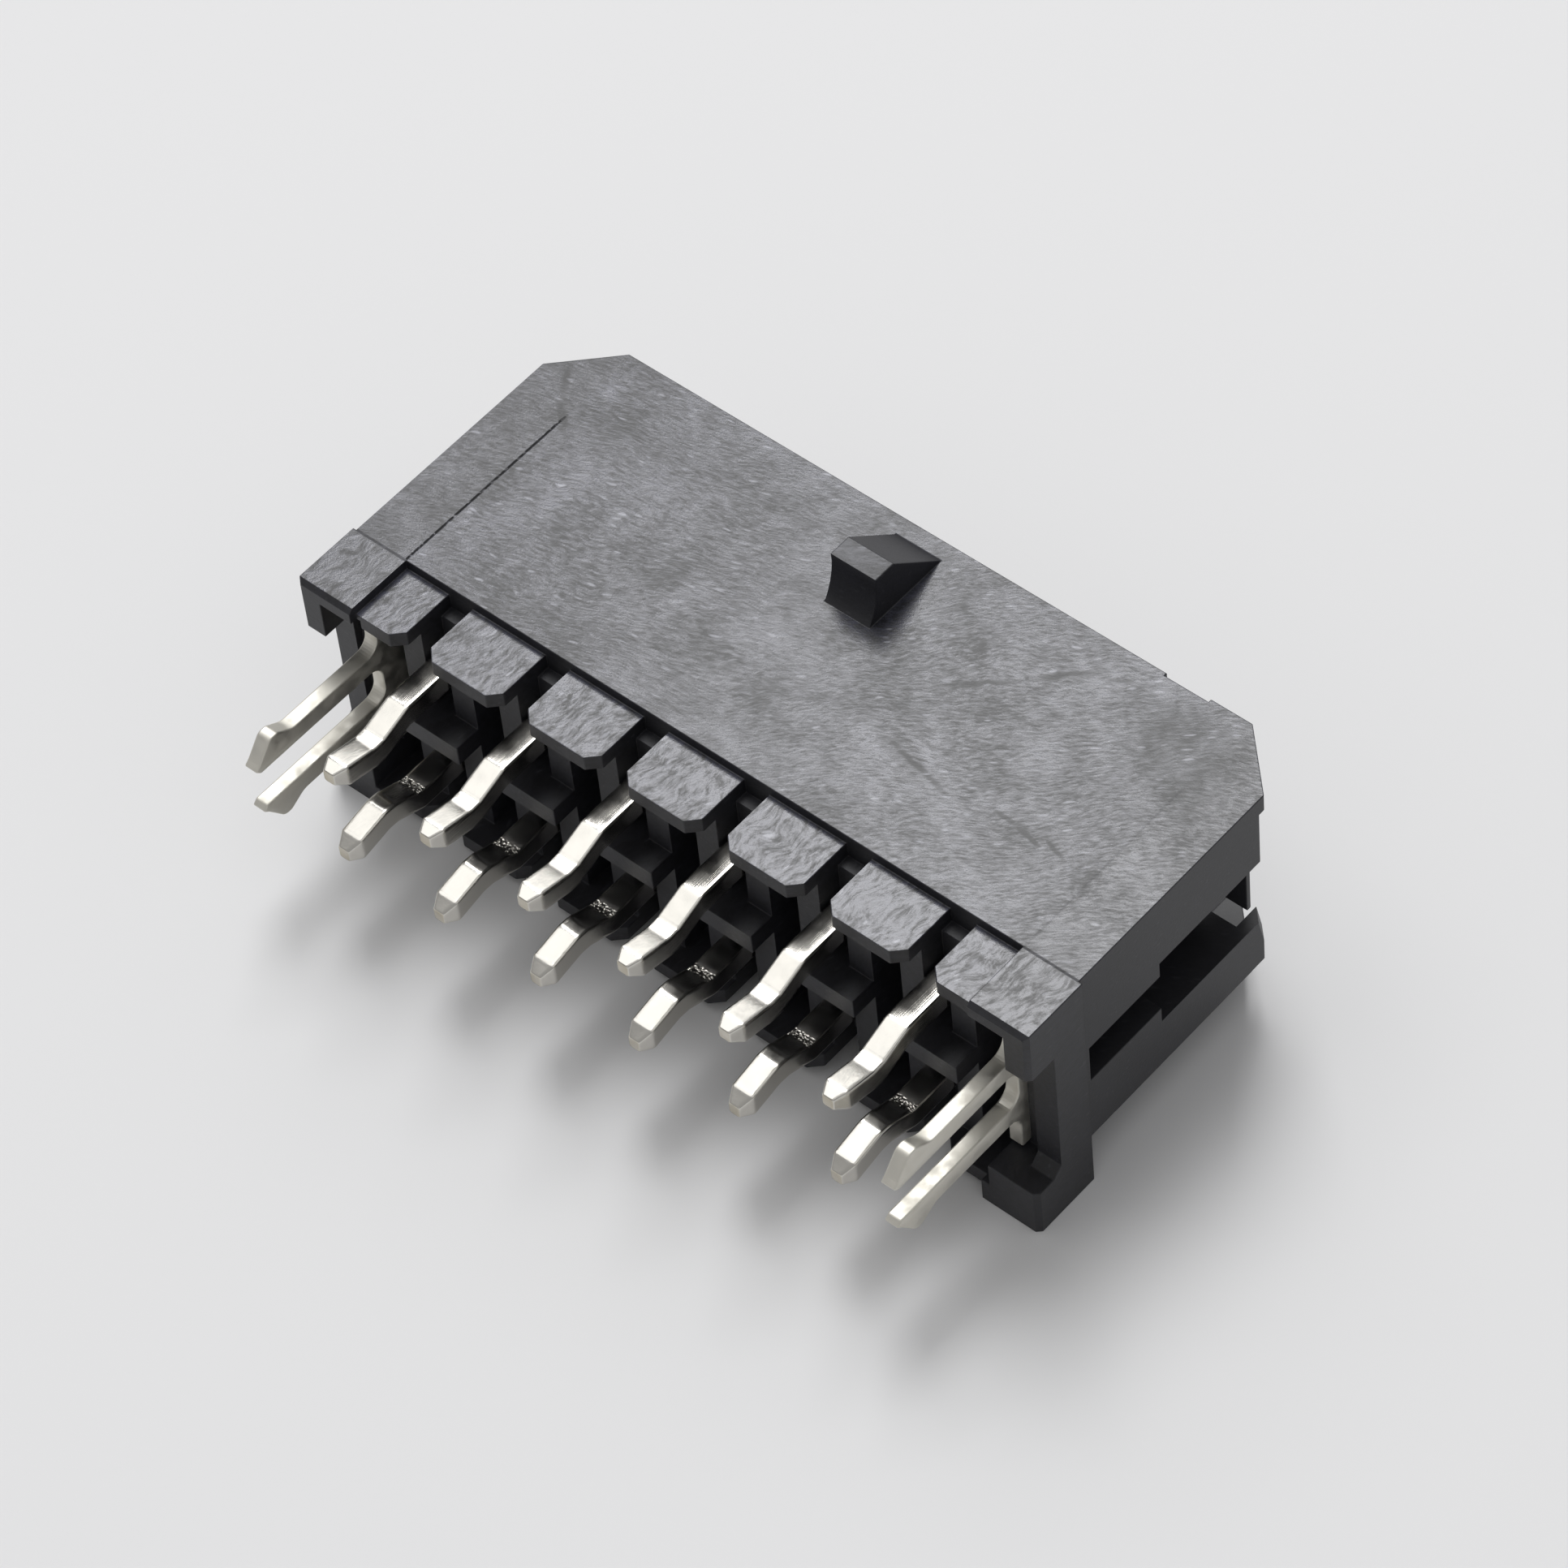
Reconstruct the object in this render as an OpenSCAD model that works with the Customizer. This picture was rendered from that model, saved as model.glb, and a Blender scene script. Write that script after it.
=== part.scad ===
// Straight two-row board header with kinked solder tails and two fork-lock clips.
// X runs along the rows, +Y is the mating direction and +Z is the latch side.
// The header lies on the flat side opposite the latch, as in the photograph.

/* [Contacts] */
// Spacing of the contacts along a row and between the two rows
pitch = 3; // [2.9:0.1:3.6]
// Side of the square contact wire
wire = 0.64; // [0.5:0.02:0.7]
// Reach of the solder tails below the board seat
tail_l = 2.85; // [2.6:0.05:4]
// Distance from the mating face down to the blade tips
blade_recess = 1.7; // [1:0.1:3]
// Length of the ground point on a solder tail
tail_point = 0.34; // [0.2:0.02:0.5]
// Width left at the end of a solder tail
tail_flat = 0.32; // [0.2:0.02:0.4]
// Height left at the end of a solder tail
tail_high = 0.36; // [0.3:0.02:0.5]
// Width left at the tip of a mating blade
blade_flat = 0.3; // [0.2:0.02:0.4]
// Length of the ground point on a mating blade
blade_point = 0.6; // [0.4:0.05:1]
// Distance from the board seat to the start of the tail's kink
kink_start = 0.5; // [0.3:0.05:0.8]
// Sideways depth of the kink
kink_depth = 0.34; // [0.1:0.02:0.4]
// Length from the start of the kink to its deepest point
kink_run = 1; // [0.6:0.05:1.2]
// Offset that is left where the ground point starts
kink_rest = 0.14; // [0:0.01:0.2]

/* [Shroud] */
// Height of the housing from the board seat to the mating face
body_h = 9.9; // [9.4:0.1:12]
// Thickness of the housing across the rows, latch ramp not counted
body_t = 7.3; // [7.1:0.1:9]
// Height of the middle plane between the rows above the flat side
mid_z = 3.92; // [3.8:0.02:4.1]
// Wall on the latch side of the mating cavity
top_wall = 0.75; // [0.6:0.05:0.9]
// Wall on the flat side of the mating cavity
flat_wall = 0.9; // [0.7:0.05:1]
// Room from the last contact to the end of the mating cavity
end_room = 1.52; // [1.2:0.02:2]
// Wall at each end of the mating cavity
end_wall = 1.75; // [1.65:0.05:2.4]
// Chamfer on the mating corners and on the two edges of the flat side
corner = 1.46; // [1:0.02:1.6]
// Chamfer that keys the cavity's two corners on the flat side
key = 0.6; // [0.3:0.05:1]
// Lead-in bevel at the mouth of the cavity
lead_in = 0.3; // [0.1:0.05:0.4]
// Width of the shallow notch in the mating edge
notch_w = 1.25; // [0.8:0.05:1.6]
// Depth of that notch
notch_d = 0.09; // [0.05:0.01:0.2]

/* [Board side] */
// Length of the base from the board seat to the seam
base_l = 1.95; // [1.8:0.05:2.4]
// How far the base stands out past each end of the shroud
base_lip = 0.1; // [0.05:0.01:0.3]
// Gap between neighbouring skirt tongues
tongue_gap = 0.74; // [0.7:0.02:1]
// Thickness of a skirt tongue
tongue_t = 0.44; // [0.3:0.02:0.6]
// Step from the latch side, and from the flat side, to the tongues
tongue_step = 0.26; // [0.1:0.02:0.4]
// Clearance from the tongue tips to the board
standoff = 0.2; // [0.1:0.02:0.3]
// Chamfer on the tongue tips
tongue_tip = 0.3; // [0.1:0.02:0.5]
// Depth of the board-side recess down to the contact cells
recess_d = 0.9; // [0.7:0.05:1]
// Depth of the recess down to the web
web_d = 1.6; // [1.4:0.05:1.75]
// Thickness of the web that holds the contacts
web_t = 2; // [1.6:0.1:2.6]
// Wall on each side of a contact cell
cell_wall = 0.7; // [0.5:0.02:0.8]
// Depth of the coring pocket between two cells
core_d = 2.4; // [2:0.1:2.8]
// Height of the bar between the two contacts of a cell
bar_h = 0.6; // [0.4:0.05:0.8]
// Distance from the board seat to the face of that bar
bar_d = 0.16; // [0.1:0.02:0.6]
// Width of the solid end blocks
block_w = 1.67; // [1.5:0.01:2]
// Chamfer on the end blocks' outer edges
block_edge = 0.12; // [0.05:0.01:0.3]

/* [Latch ramp] */
// Width of the ramp
ramp_w = 1.35; // [1:0.05:3]
// Height of the ramp above the latch side
ramp_h = 1.35; // [0.8:0.05:1.8]
// Distance from the mating face to the foot of the slope
ramp_end = 0.5; // [0.3:0.05:1]
// Length of the slope
ramp_slope = 1.57; // [1:0.01:2]
// Length of the flat crest
ramp_crest = 0.63; // [0.3:0.01:1]
// Lean of the latching face over the ramp's height
ramp_lean = 0.35; // [0.1:0.01:0.5]
// Hollow of the latching face
ramp_hollow = 0.12; // [0.05:0.01:0.2]

/* [Fork-lock clips] */
// Height of the clip's middle above the flat side
clip_z = 3.87; // [3.8:0.01:3.95]
// Thickness of the clip's sheet
clip_t = 0.4; // [0.3:0.02:0.5]
// Distance of the clip's middle from the end of the shroud
clip_in = 1.17; // [1.1:0.01:1.3]
// Height of the clip's plate across the rows
clip_h = 4.6; // [4.2:0.1:4.8]
// Distance from the board seat to the clip's shoulders
clip_shoulder = 0.82; // [0.6:0.02:0.86]
// Distance from the board seat to the far edge of the plate
clip_seat = 2.1; // [1.9:0.05:2.3]
// Reach of the prongs below the board seat
prong_l = 3.4; // [3:0.1:4.5]
// Width of a prong
prong_w = 0.54; // [0.4:0.02:0.7]
// Width left at the tip of a prong
prong_tip = 0.26; // [0.2:0.02:0.36]
// Bevel on the inner edge of that tip
prong_bevel = 0.14; // [0.06:0.02:0.18]
// Clear gap between the prongs
prong_gap = 1.16; // [0.9:0.02:1.4]
// Height of the barb near a prong's tip
barb_h = 0.28; // [0.15:0.01:0.4]
// Length from the prong's tip to the crest of the barb
barb_l = 0.58; // [0.5:0.02:1]
// Length of that crest and radius of its corners
barb_crest = 0.24; // [0.1:0.02:0.4]
// Length of the barb's back slope
barb_back = 0.46; // [0.3:0.02:0.8]
// Radius between a prong and the back of its barb
neck_r = 0.5; // [0.2:0.05:0.8]
// Radius at the roots of the prongs
prong_r = 0.38; // [0.2:0.02:0.42]

/* [End walls] */
// Height of the narrow part of the window in each end wall
slot_h = 1.17; // [0.9:0.01:1.4]
// Height of the wide part of that window
window_h = 2.11; // [1.8:0.01:2.4]
// Height of the window's middle above the flat side
window_z = 4.05; // [3.95:0.01:4.15]
// Distance from the seam to the window
window_in = 0.2; // [0.15:0.01:0.4]
// Length of the narrow part
slot_l = 2.5; // [2:0.1:3]
// Distance from the mating face to the bridge at the end of the window
bridge_in = 2.15; // [2.1:0.01:2.6]
// Height of the passage that is left below the bridge
exit_h = 0.83; // [0.6:0.01:1]
// Skin of the end wall beside that passage
exit_skin = 0.34; // [0.3:0.01:0.6]
// Height of the clip's opening in each end of the base
port_h = 4.25; // [3.9:0.05:4.4]
// Height of the sill below that opening
port_sill = 1.45; // [1.2:0.05:1.5]
// Depth of that opening
port_d = 0.87; // [0.7:0.01:1]
// Bevel in its lower corner
port_bevel = 0.28; // [0.1:0.02:0.4]
// Width of the leg beside the clip's pocket
leg_w = 0.68; // [0.5:0.02:0.75]
// Depth of the pocket around the clip
pocket_d = 1.1; // [1:0.05:1.4]
// Thickness of the latch side's wall where the mating corner is cut
cap_t = 0.53; // [0.4:0.01:0.7]
// Set-back of the cut corner below that wall
relief_upper = 0.13; // [0.05:0.01:0.2]
// Set-back of the cut corner beside the window and on the flat side
relief_middle = 0.4; // [0.3:0.01:0.45]
// Set-back of the cut corner below the window
relief_lower = 0.21; // [0.15:0.01:0.3]
// Set-back of the cut corner's skin near the flat side
relief_foot = 0.08; // [0.04:0.01:0.12]
// Length over which the set-back below the window runs out
relief_run = 0.85; // [0.5:0.05:1]

/* [Hidden] */

$fn = 48;
// Contacts in each row, one node each
columns = 6;
// Overrun of the cuts and overlap of joined pieces
over = 1;
join = 0.1;
arc_steps = 8;
row_half = (columns - 1) * pitch / 2;
cavity_half = row_half + end_room;
shroud_half = cavity_half + end_wall;
base_half = shroud_half + base_lip;
block_in = base_half - block_w;
clip_x = shroud_half - clip_in;
pocket_out = base_half - leg_w;
reach = 2 * (base_half + over);
half_gap = tongue_gap / 2;
half_tongue = (pitch - tongue_gap) / 2;
half_cell = half_gap + cell_wall;
kink_back = tail_l - tail_point - kink_start - kink_run;
tongue_top = body_t - tongue_step;
tongue_low = tongue_top - tongue_t;
skirt_top = tongue_step + tongue_t;
ramp_foot = body_h - ramp_end;
ramp_front = ramp_foot - ramp_slope - ramp_crest;
web_end = web_d + web_t;
// Middle of the bounding box along Y, which the frame puts at Y = 0
mid_y = (body_h - prong_l) / 2;

function contact_x(column) = (column - 1) * pitch - row_half;
function ease(t) = t * t * (3 - 2 * t);

// A bar along X with the given outline in the Y-Z plane
module along_x(width) {
  rotate([90, 0, 90]) translate([0, 0, -width / 2]) linear_extrude(width) children();
}

// A bar along Y, from y0 to y1, with the given outline in the X-Z plane
module along_y(y0, y1) {
  translate([0, y1, 0]) rotate([90, 0, 0]) linear_extrude(y1 - y0) children();
}

// A box given by its two opposite corners
module span(low, high) {
  translate(low) cube(high - low);
}

module both_ends() {
  children();
  mirror([1, 0, 0]) children();
}

// Shroud: its plan has cut mating corners, its section has cut edges on the flat side
module shroud_body() {
  plan = [[-shroud_half, base_l], [shroud_half, base_l], [shroud_half, body_h - corner],
          [shroud_half - corner, body_h], [corner - shroud_half, body_h],
          [-shroud_half, body_h - corner]];
  section = [[corner - shroud_half, 0], [shroud_half - corner, 0], [shroud_half, corner],
             [shroud_half, body_t], [-shroud_half, body_t], [-shroud_half, corner]];
  intersection() {
    linear_extrude(body_t) polygon(plan);
    along_y(0, body_h) polygon(section);
  }
}

// Base: two end blocks, a skirt of tongues on each side and the contact cells between them
module base_body() {
  edge = block_edge;
  block = [[block_in, 0], [base_half - edge, 0], [base_half, edge], [base_half, base_l],
           [block_in, base_l]];
  side = [[0, 0], [base_l, 0], [base_l, body_t], [edge, body_t], [0, body_t - edge]];
  both_ends() intersection() {
    linear_extrude(body_t) polygon(block);
    along_x(reach) polygon(side);
  }
  span([-block_in - join, recess_d, skirt_top - join], [block_in + join, base_l + join, tongue_low + join]);
  for (k = [0:columns]) translate([k * pitch - row_half - pitch / 2, 0, 0]) {
    translate([0, 0, tongue_low]) linear_extrude(tongue_t) tongue_plan();
    translate([0, 0, tongue_step]) linear_extrude(tongue_t) tongue_plan();
  }
  for (c = [1:columns])
    translate([contact_x(c), 0, mid_z])
      span([-half_cell, bar_d, -bar_h / 2], [half_cell, base_l, bar_h / 2]);
}

module tongue_plan() {
  half = half_tongue;
  tip = tongue_tip;
  polygon([[-half, base_l], [-half, standoff + tip], [tip - half, standoff],
           [half - tip, standoff], [half, standoff + tip], [half, base_l]]);
}

// Cells around the contacts and coring pockets between them, open to the board
module board_recess() {
  half_core = half_tongue - cell_wall;
  for (c = [1:columns]) translate([contact_x(c), 0, 0]) difference() {
    union() {
      span([-half_gap, -over, -over], [half_gap, web_d, tongue_top]);
      span([-half_gap, -over, tongue_low], [half_gap, base_l, body_t + over]);
    }
    span([-half_cell, bar_d, mid_z - bar_h / 2], [half_cell, base_l, mid_z + bar_h / 2]);
  }
  for (k = [0:columns]) translate([k * pitch - row_half - pitch / 2, 0, 0])
    span([-half_core, -over, skirt_top], [half_core, core_d, tongue_low]);
}

// Tapered mouth and keyed cavity for the mating plug
module mating_cavity() {
  low = flat_wall;
  high = body_t - top_wall;
  wide = cavity_half;
  hollow = [[key - wide, low], [wide - key, low], [wide, low + key], [wide, high], [-wide, high],
            [-wide, low + key]];
  along_y(web_end, body_h + over) polygon(hollow);
  plan = [[-wide, body_h - lead_in], [wide, body_h - lead_in],
          [wide + lead_in + over, body_h + over], [-wide - lead_in - over, body_h + over]];
  side = [[body_h - lead_in, low], [body_h + over, low - lead_in - over],
          [body_h + over, high + lead_in + over], [body_h - lead_in, high]];
  intersection() {
    linear_extrude(body_t + over) polygon(plan);
    along_x(reach) polygon(side);
  }
}

// Clip pocket, its opening in the base, the stepped window and the cut mating corner
module end_cuts() {
  sill = port_sill;
  head = sill + port_h;
  span([block_in - join, -over, sill], [pocket_out, pocket_d, body_t - tongue_t]);
  port = [[-over, sill], [port_d - port_bevel, sill], [port_d, sill + port_bevel], [port_d, head],
          [-over, head]];
  translate([base_half, 0, 0]) along_x(2 * block_w) polygon(port);
  translate([clip_x, 0, clip_z])
    span([-clip_t / 2, 0, -clip_h / 2], [clip_t / 2, clip_seat, clip_h / 2]);
  y0 = base_l + window_in;
  y1 = y0 + slot_l;
  y2 = body_h - bridge_in;
  inner = clip_x - clip_t / 2;
  outer = shroud_half + over;
  low = window_z - window_h / 2;
  high = window_z + window_h / 2;
  span([inner, y0, window_z - slot_h / 2], [outer, y1 + join, window_z + slot_h / 2]);
  span([inner, y1, low], [outer, y2, high]);
  span([cavity_half - join, y2 - join, low], [outer, body_h + over, low + exit_h]);
  span([cavity_half - join, y2, corner], [shroud_half - exit_skin, body_h + over, low + join]);
  corner_relief(low, high);
}

// Stepped set-back of the mating corner, cut along the corner's chamfer
module corner_relief(low, high) {
  top = body_t - cap_t;
  outline = [[-over, top], [relief_upper, top], [relief_upper, high], [relief_middle, high],
             [relief_middle, low], [relief_lower, low], [relief_foot, low - relief_run],
             [relief_foot, corner], [relief_middle, corner], [relief_middle, -over], [-over, -over]];
  translate([shroud_half - corner / 2, body_h - corner / 2, 0])
    rotate([0, 0, 45]) mirror([1, 0, 0])
      rotate([90, 0, 0]) translate([0, 0, -2 * corner]) linear_extrude(4 * corner) polygon(outline);
}

// Ramp for the plug's latch: sloped to the mating side, hollow on the latching side
module latch_ramp() {
  foot = ramp_front - ramp_lean;
  chord = norm([ramp_lean, ramp_h]);
  radius = chord * chord / (8 * ramp_hollow) + ramp_hollow / 2;
  side = [[foot, -join], [ramp_foot, -join], [ramp_foot, 0], [ramp_front + ramp_crest, ramp_h],
          [ramp_front, ramp_h], [foot, 0]];
  normal = [-ramp_h, ramp_lean] / chord;
  centre = [foot + ramp_lean / 2, ramp_h / 2] + normal * (radius - ramp_hollow);
  translate([0, 0, body_t]) along_x(ramp_w) difference() {
    polygon(side);
    translate(centre) circle(radius, $fn = 96);
  }
}

module contact_holes() {
  for (c = [1:columns], row = [-1, 1])
    translate([contact_x(c), 0, mid_z + row * pitch / 2])
      span([-wire / 2, 0, -wire / 2], [wire / 2, body_h, wire / 2]);
}

module housing() {
  notch_x = row_half;
  color("#2c2c30") translate([0, -mid_y, 0]) difference() {
    union() {
      shroud_body();
      base_body();
      latch_ramp();
    }
    mating_cavity();
    board_recess();
    both_ends() end_cuts();
    contact_holes();
    span([notch_x - notch_w / 2, body_h - notch_d, body_t - top_wall - over],
         [notch_x + notch_w / 2, body_h + over, body_t + over]);
  }
}

// Square contact: a straight mating blade and a solder tail with a smooth kink
module contact(column, row) {
  half = wire / 2;
  tip = body_h - blade_recess;
  steps = 6;
  bend = [for (i = [0:steps]) [-kink_start - kink_run * i / steps, -kink_depth * ease(i / steps)]];
  back = [for (i = [1:steps]) [-kink_start - kink_run - kink_back * i / steps,
                               -kink_depth + (kink_depth - kink_rest) * ease(i / steps)]];
  line = concat(bend, back);
  blade = blade_flat / 2;
  high = [for (p = line) p + [0, half]];
  low = [for (i = [len(line) - 1:-1:0]) line[i] - [0, half]];
  tail_z = -kink_rest;
  side = concat([[tip, blade], [tip - blade_point, half]], high,
                [[-tail_l, tail_z + tail_high / 2], [-tail_l, tail_z - tail_high / 2]], low,
                [[tip - blade_point, -half], [tip, -blade]]);
  plan = [[half, tail_point - tail_l], [half, tip - blade_point], [blade, tip], [-blade, tip],
          [-half, tip - blade_point], [-half, tail_point - tail_l], [-tail_flat / 2, -tail_l],
          [tail_flat / 2, -tail_l]];
  color("#d9d7d0") translate([contact_x(column), -mid_y, mid_z + row * pitch / 2])
    mirror([0, 0, row < 0 ? 1 : 0]) intersection() {
      along_x(2 * wire) polygon(side);
      translate([0, 0, -pitch]) linear_extrude(2 * pitch) polygon(plan);
    }
}

// Points of a quarter circle about a centre, from one angle to another
function arc(centre, radius, from, to) =
  [for (i = [0:arc_steps]) centre + radius * [cos(from + (to - from) * i / arc_steps),
                                              sin(from + (to - from) * i / arc_steps)]];

// Points of the round on corner b of an outline that runs from a to c
function rounded(a, b, c, radius) =
  let (u = (a - b) / norm(a - b),
       v = (c - b) / norm(c - b),
       half = acos(u * v) / 2,
       centre = b + (u + v) / norm(u + v) * radius / sin(half),
       first = b + u * radius / tan(half) - centre,
       from = atan2(first[1], first[0]),
       turn = cross(u, v) < 0 ? 1 : -1)
  arc(centre, radius, from, from + turn * (180 - 2 * half));

// Fork-lock clip: a plate with two barbed prongs, rounded at their roots and barbs
module clip(side) {
  low = prong_gap / 2;
  high = low + prong_w;
  tip = -prong_l;
  crest = tip + barb_l;
  root = clip_shoulder - prong_r;
  neck = [crest + barb_crest + barb_back, high];
  back = [crest + barb_crest, high + barb_h];
  front = [crest, high + barb_h];
  nose = [tip + prong_bevel, low + prong_tip];
  upper = concat([[clip_seat, clip_h / 2], [clip_shoulder, clip_h / 2]],
                 arc([root, high + prong_r], prong_r, 0, -90),
                 rounded([root, high], neck, back, neck_r),
                 rounded(neck, back, front, barb_crest),
                 rounded(back, front, nose, barb_crest),
                 [nose, [tip, low + prong_bevel], [tip + prong_bevel, low]],
                 arc([root, low - prong_r], prong_r, 90, 0));
  lower = [for (i = [len(upper) - 1:-1:0]) [upper[i][0], -upper[i][1]]];
  color("#c9c8c2") translate([side * clip_x, -mid_y, clip_z])
    along_x(clip_t) polygon(concat(upper, lower));
}

housing();
contact(1, 1);  // upper_contact_1
contact(2, 1);  // upper_contact_2
contact(3, 1);  // upper_contact_3
contact(4, 1);  // upper_contact_4
contact(5, 1);  // upper_contact_5
contact(6, 1);  // upper_contact_6
contact(1, -1);  // lower_contact_1
contact(2, -1);  // lower_contact_2
contact(3, -1);  // lower_contact_3
contact(4, -1);  // lower_contact_4
contact(5, -1);  // lower_contact_5
contact(6, -1);  // lower_contact_6
clip(-1);  // left_clip
clip(1);  // right_clip
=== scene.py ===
import math

import bpy
import numpy as np
from mathutils import Matrix, Vector


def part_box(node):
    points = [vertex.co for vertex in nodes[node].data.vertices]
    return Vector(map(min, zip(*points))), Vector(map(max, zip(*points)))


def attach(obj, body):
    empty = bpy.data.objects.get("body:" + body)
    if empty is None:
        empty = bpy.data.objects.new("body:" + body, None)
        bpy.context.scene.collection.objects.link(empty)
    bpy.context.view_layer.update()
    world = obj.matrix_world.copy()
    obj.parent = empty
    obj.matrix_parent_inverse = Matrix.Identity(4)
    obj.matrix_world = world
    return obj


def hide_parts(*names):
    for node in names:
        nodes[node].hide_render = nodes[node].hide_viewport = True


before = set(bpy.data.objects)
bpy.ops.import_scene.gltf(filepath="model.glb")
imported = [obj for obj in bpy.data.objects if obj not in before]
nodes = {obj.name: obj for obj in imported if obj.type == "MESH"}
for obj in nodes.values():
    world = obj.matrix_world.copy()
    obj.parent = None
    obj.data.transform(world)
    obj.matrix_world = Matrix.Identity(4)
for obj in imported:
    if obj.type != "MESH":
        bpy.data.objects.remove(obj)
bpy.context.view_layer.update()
mm = 0.001
print("frame loaded,", len(nodes), "nodes")


# sRGB hex to the linear colour that a shader socket takes
def linear(hexColour):
    parts = [int(hexColour[i:i + 2], 16) / 255 for i in (1, 3, 5)]
    return [p / 12.92 if p <= 0.04045 else ((p + 0.055) / 1.055) ** 2.4 for p in parts] + [1.0]


# adds one node and gives its outputs; a wire from an output is linked, any other value is set on the socket
def addNode(tree, kind, wires=None, **settings):
    made = tree.nodes.new(kind)
    for name, value in settings.items():
        setattr(made, name, value)
    for socket, value in (wires or {}).items():
        if isinstance(value, bpy.types.NodeSocket):
            tree.links.new(value, made.inputs[socket])
        else:
            made.inputs[socket].default_value = value
    return made.outputs


def newMaterial(name):
    made = bpy.data.materials.new(name)
    made.use_nodes = True
    made.node_tree.nodes.clear()
    return made, made.node_tree


# gives every face of a piece this one material
def dress(piece, material):
    piece.data.materials.clear()
    piece.data.materials.append(material)


# mesh from whole arrays: points, faces, and one number per point for each named attribute
def meshPiece(name, points, faces, material, attributes=None):
    mesh = bpy.data.meshes.new(name)
    mesh.from_pydata(points.tolist(), [], faces)
    mesh.polygons.foreach_set("use_smooth", np.ones(len(mesh.polygons), bool))
    for key, values in (attributes or {}).items():
        mesh.attributes.new(key, "FLOAT", "POINT").data.foreach_set("value", values.astype(np.float32))
    mesh.update()
    piece = bpy.data.objects.new(name, mesh)
    bpy.context.scene.collection.objects.link(piece)
    dress(piece, material)
    return piece


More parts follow.
